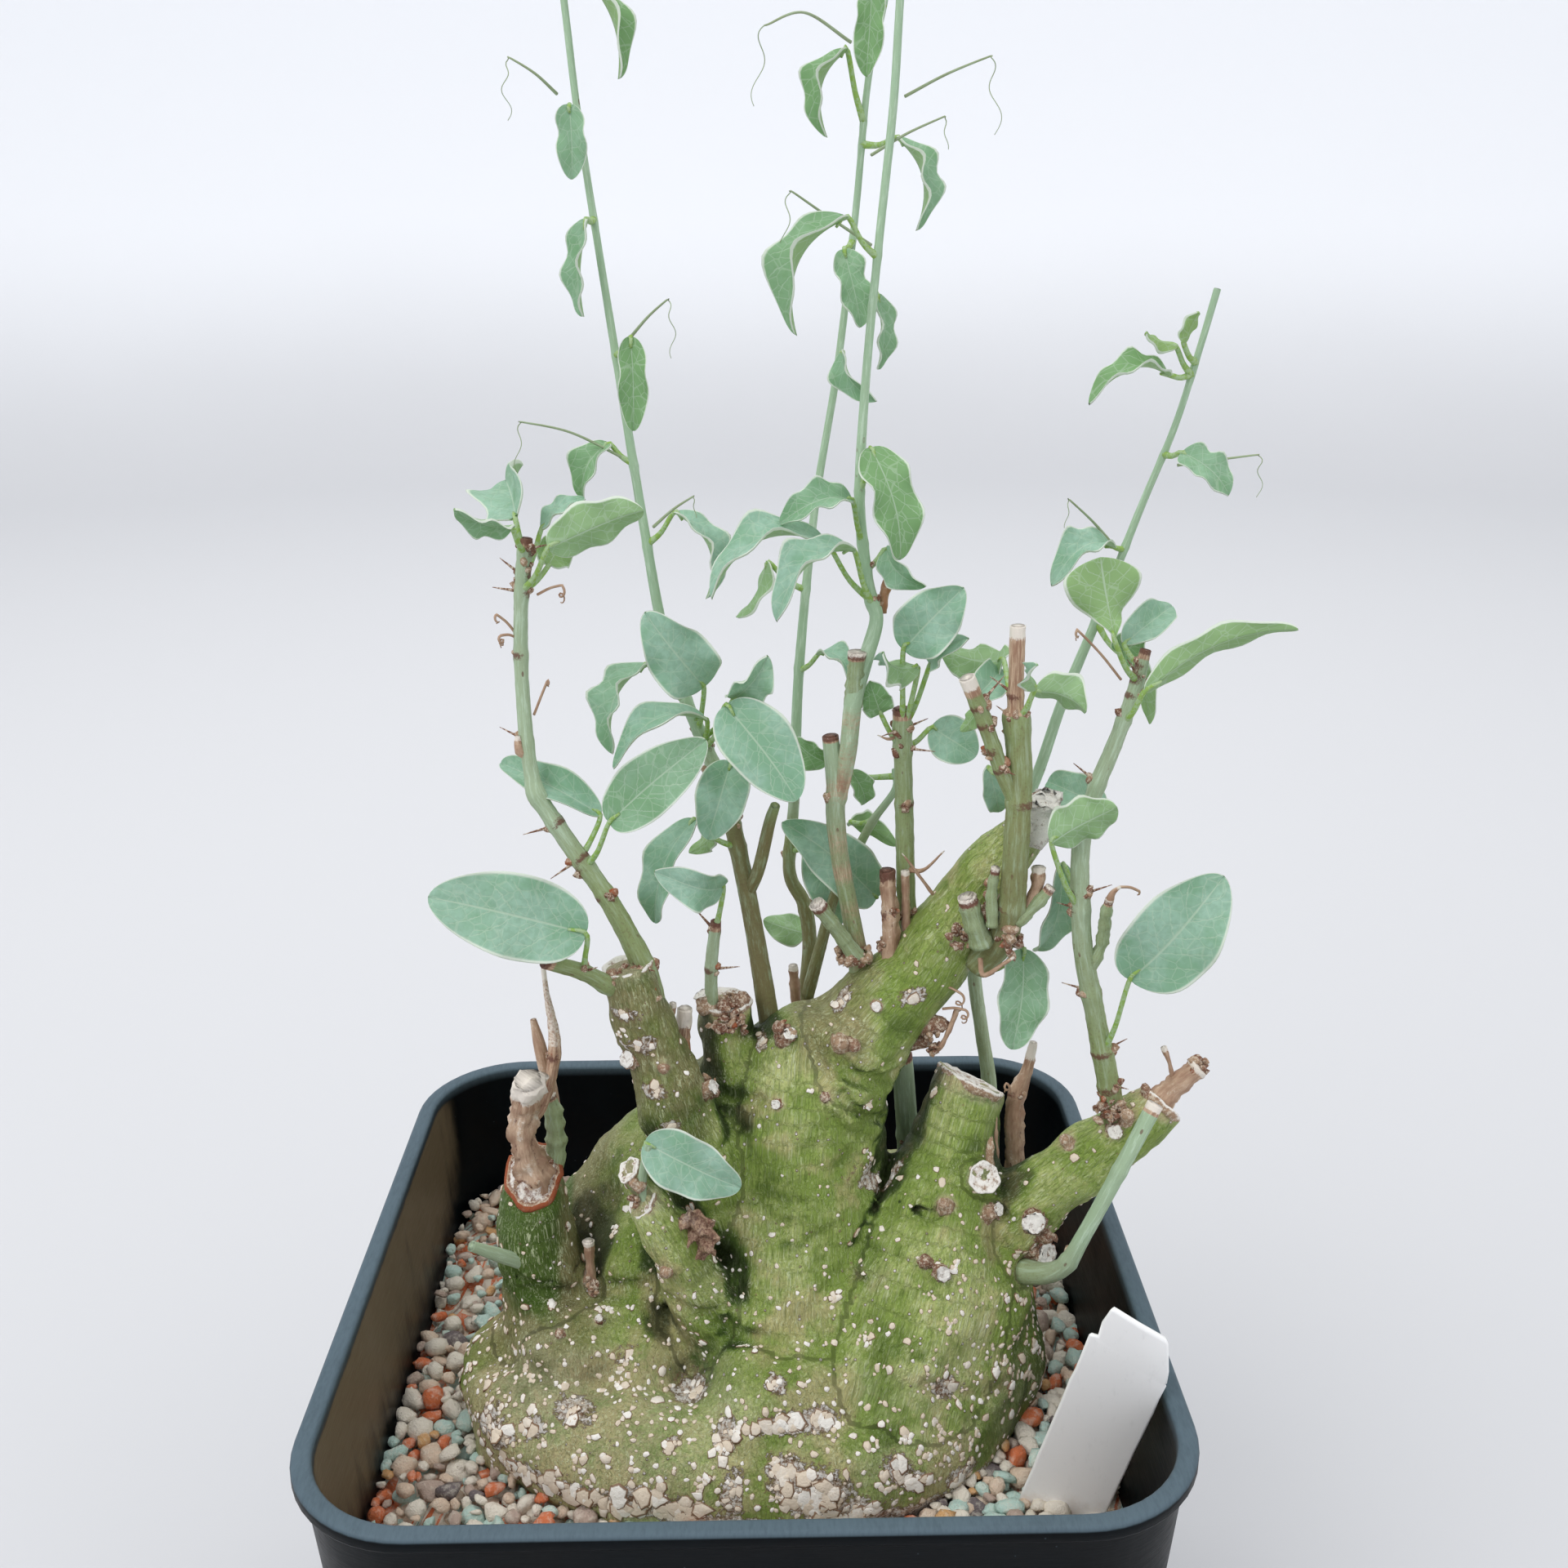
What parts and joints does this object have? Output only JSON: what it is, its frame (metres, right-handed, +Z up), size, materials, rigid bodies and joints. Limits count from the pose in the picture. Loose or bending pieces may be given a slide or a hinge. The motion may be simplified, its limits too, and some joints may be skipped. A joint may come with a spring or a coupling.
{
  "type": "potted adenia spinosa",
  "caption": "Caudiciform climbing plant with a swollen green caudex, cut branches and slender leafy vines, in a square tapering black pot with gravel and a blank plant label.",
  "frame": {"origin": "Middle of the pot's underside, on the surface it stands on.", "axes": "+Z up; -Y is the front of the pot, towards the viewer of the reference picture; +X to the right."},
  "size_m": [0.1667, 0.15, 0.4609],
  "materials": {
    "pot_plastic": "satin, finely scuffed",
    "soil": "matte, crumbly",
    "gravel": "matte, dusty",
    "label": "satin",
    "caudex_skin": "satin skin with corky warts",
    "old_stem": "matte, striated",
    "green_stem": "matte with a pale bloom",
    "dead_wood": "matte, dry"
  },
  "bodies": {
    "root": {"pot": "pot_plastic", "soil": "soil", "gravel": "gravel", "plant_label": "label", "caudex": "caudex_skin", "stem_left": "old_stem", "vine_left": "green_stem", "vine_back": "green_stem", "vine_front": "green_stem", "stem_cut": "old_stem", "stem_thick": "old_stem", "stem_right": "old_stem", "vine_right": "green_stem", "stem_short": "old_stem", "leaf_front": "green_stem", "shoot_right": "green_stem", "shoots_left_stub": "dead_wood", "stub_brown": "dead_wood", "stub_grey": "dead_wood", "twig_right": "dead_wood", "shoot_behind": "green_stem", "spur_left": "green_stem"}
  },
  "joints": []
}
